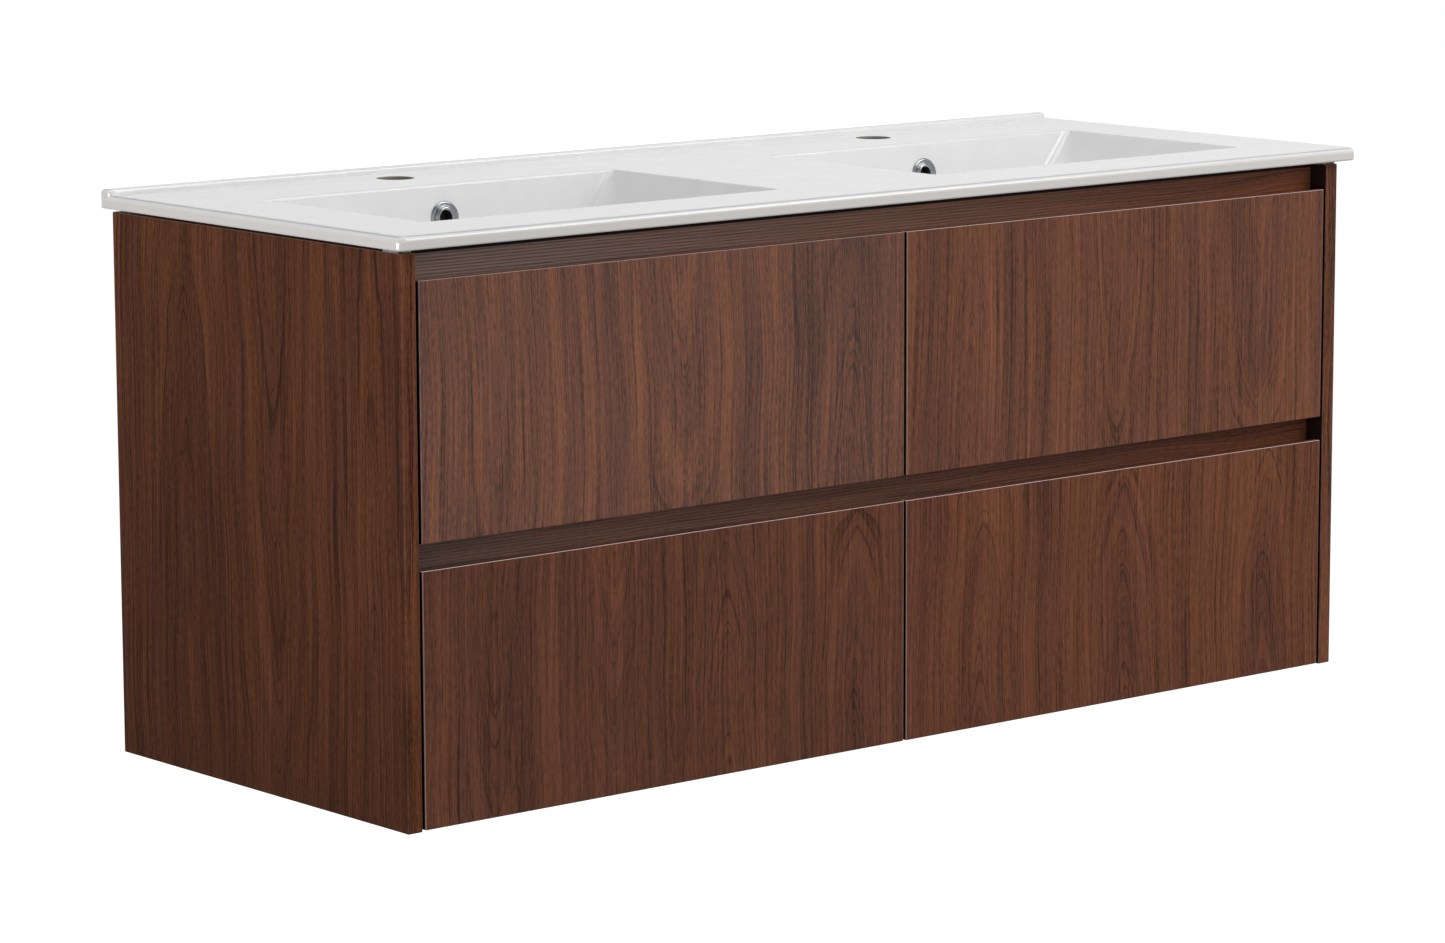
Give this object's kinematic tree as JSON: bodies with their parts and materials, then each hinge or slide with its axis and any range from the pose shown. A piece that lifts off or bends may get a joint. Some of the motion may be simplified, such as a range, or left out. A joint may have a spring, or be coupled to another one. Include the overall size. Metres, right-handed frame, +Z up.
{
  "type": "bathroom vanity cabinet",
  "caption": "Wall-hung vanity cabinet with handleless drawers, recessed finger pulls and a glazed ceramic top with rectangular bowls.",
  "frame": {"origin": "middle of the cabinet's width, on the wall face, at the underside of the cabinet", "axes": "+Z up, +Y into the wall, -Y towards the user, +X to the user's right"},
  "size_m": [1.205, 0.4685, 0.538],
  "materials": {
    "walnut_board": "walnut-look laminated board, satin, grain upright",
    "recess_walnut_board": "the same laminated board, grain lying along the rail",
    "inner_walnut_board": "the same laminated board, inside the carcass",
    "drawer_board": "pale grey linen-look melamine board",
    "glazed_top": "white, gloss glaze",
    "chrome": "polished chrome plate",
    "runner_steel": "rolled, zinc plated",
    "fittings": "zinc plated",
    "clear_pads": "soft, milky clear"
  },
  "bodies": {
    "carcass": {"back_bottom_rail": "inner_walnut_board", "back_top_rail": "inner_walnut_board", "basin_pads": "clear_pads", "bottom_panel": "inner_walnut_board", "bracket_screws": "fittings", "cam_locks": "fittings", "centre_divider": "inner_walnut_board", "ceramic_top": "glazed_top", "corner_brackets": "fittings", "front_bumpers": "clear_pads", "left_side_panel": "walnut_board", "lower_left_cabinet_runners": "runner_steel", "lower_right_cabinet_runners": "runner_steel", "middle_front_rail": "recess_walnut_board", "overflow_ring_left": "chrome", "overflow_ring_right": "chrome", "right_side_panel": "walnut_board", "top_front_rail": "recess_walnut_board", "upper_left_cabinet_runners": "runner_steel", "upper_right_cabinet_runners": "runner_steel"},
    "upper_left_drawer": {"upper_left_box_back": "drawer_board", "upper_left_box_base": "drawer_board", "upper_left_box_front": "drawer_board", "upper_left_box_left_side": "drawer_board", "upper_left_box_right_side": "drawer_board", "upper_left_drawer_front": "walnut_board", "upper_left_drawer_runners": "runner_steel", "upper_left_front_screws": "fittings", "upper_left_plumbing_surround": "drawer_board"},
    "upper_left_middle_runners": {"upper_left_middle_runners": "runner_steel"},
    "upper_right_drawer": {"upper_right_box_back": "drawer_board", "upper_right_box_base": "drawer_board", "upper_right_box_front": "drawer_board", "upper_right_box_left_side": "drawer_board", "upper_right_box_right_side": "drawer_board", "upper_right_drawer_front": "walnut_board", "upper_right_drawer_runners": "runner_steel", "upper_right_front_screws": "fittings", "upper_right_plumbing_surround": "drawer_board"},
    "upper_right_middle_runners": {"upper_right_middle_runners": "runner_steel"},
    "lower_left_drawer": {"lower_left_box_back": "drawer_board", "lower_left_box_base": "drawer_board", "lower_left_box_front": "drawer_board", "lower_left_box_left_side": "drawer_board", "lower_left_box_right_side": "drawer_board", "lower_left_drawer_front": "walnut_board", "lower_left_drawer_runners": "runner_steel", "lower_left_front_screws": "fittings"},
    "lower_left_middle_runners": {"lower_left_middle_runners": "runner_steel"},
    "lower_right_drawer": {"lower_right_box_back": "drawer_board", "lower_right_box_base": "drawer_board", "lower_right_box_front": "drawer_board", "lower_right_box_left_side": "drawer_board", "lower_right_box_right_side": "drawer_board", "lower_right_drawer_front": "walnut_board", "lower_right_drawer_runners": "runner_steel", "lower_right_front_screws": "fittings"},
    "lower_right_middle_runners": {"lower_right_middle_runners": "runner_steel"}
  },
  "joints": [
    {"name": "upper_left_drawer_slide", "type": "slide", "parent": "carcass", "child": "upper_left_drawer", "axis": [0, -1, 0], "range_m": [0, 0.35]},
    {"name": "upper_left_middle_runner_slide", "type": "slide", "parent": "carcass", "child": "upper_left_middle_runners", "axis": [0, -1, 0], "range_m": [0, 0.175]},
    {"name": "upper_right_drawer_slide", "type": "slide", "parent": "carcass", "child": "upper_right_drawer", "axis": [0, -1, 0], "range_m": [0, 0.35]},
    {"name": "upper_right_middle_runner_slide", "type": "slide", "parent": "carcass", "child": "upper_right_middle_runners", "axis": [0, -1, 0], "range_m": [0, 0.175]},
    {"name": "lower_left_drawer_slide", "type": "slide", "parent": "carcass", "child": "lower_left_drawer", "axis": [0, -1, 0], "range_m": [0, 0.35]},
    {"name": "lower_left_middle_runner_slide", "type": "slide", "parent": "carcass", "child": "lower_left_middle_runners", "axis": [0, -1, 0], "range_m": [0, 0.175]},
    {"name": "lower_right_drawer_slide", "type": "slide", "parent": "carcass", "child": "lower_right_drawer", "axis": [0, -1, 0], "range_m": [0, 0.35]},
    {"name": "lower_right_middle_runner_slide", "type": "slide", "parent": "carcass", "child": "lower_right_middle_runners", "axis": [0, -1, 0], "range_m": [0, 0.175]}
  ],
  "couplings": [
    {"joint": "upper_left_middle_runner_slide", "follows": "upper_left_drawer_slide", "ratio": 0.5},
    {"joint": "upper_right_middle_runner_slide", "follows": "upper_right_drawer_slide", "ratio": 0.5},
    {"joint": "lower_left_middle_runner_slide", "follows": "lower_left_drawer_slide", "ratio": 0.5},
    {"joint": "lower_right_middle_runner_slide", "follows": "lower_right_drawer_slide", "ratio": 0.5}
  ]
}
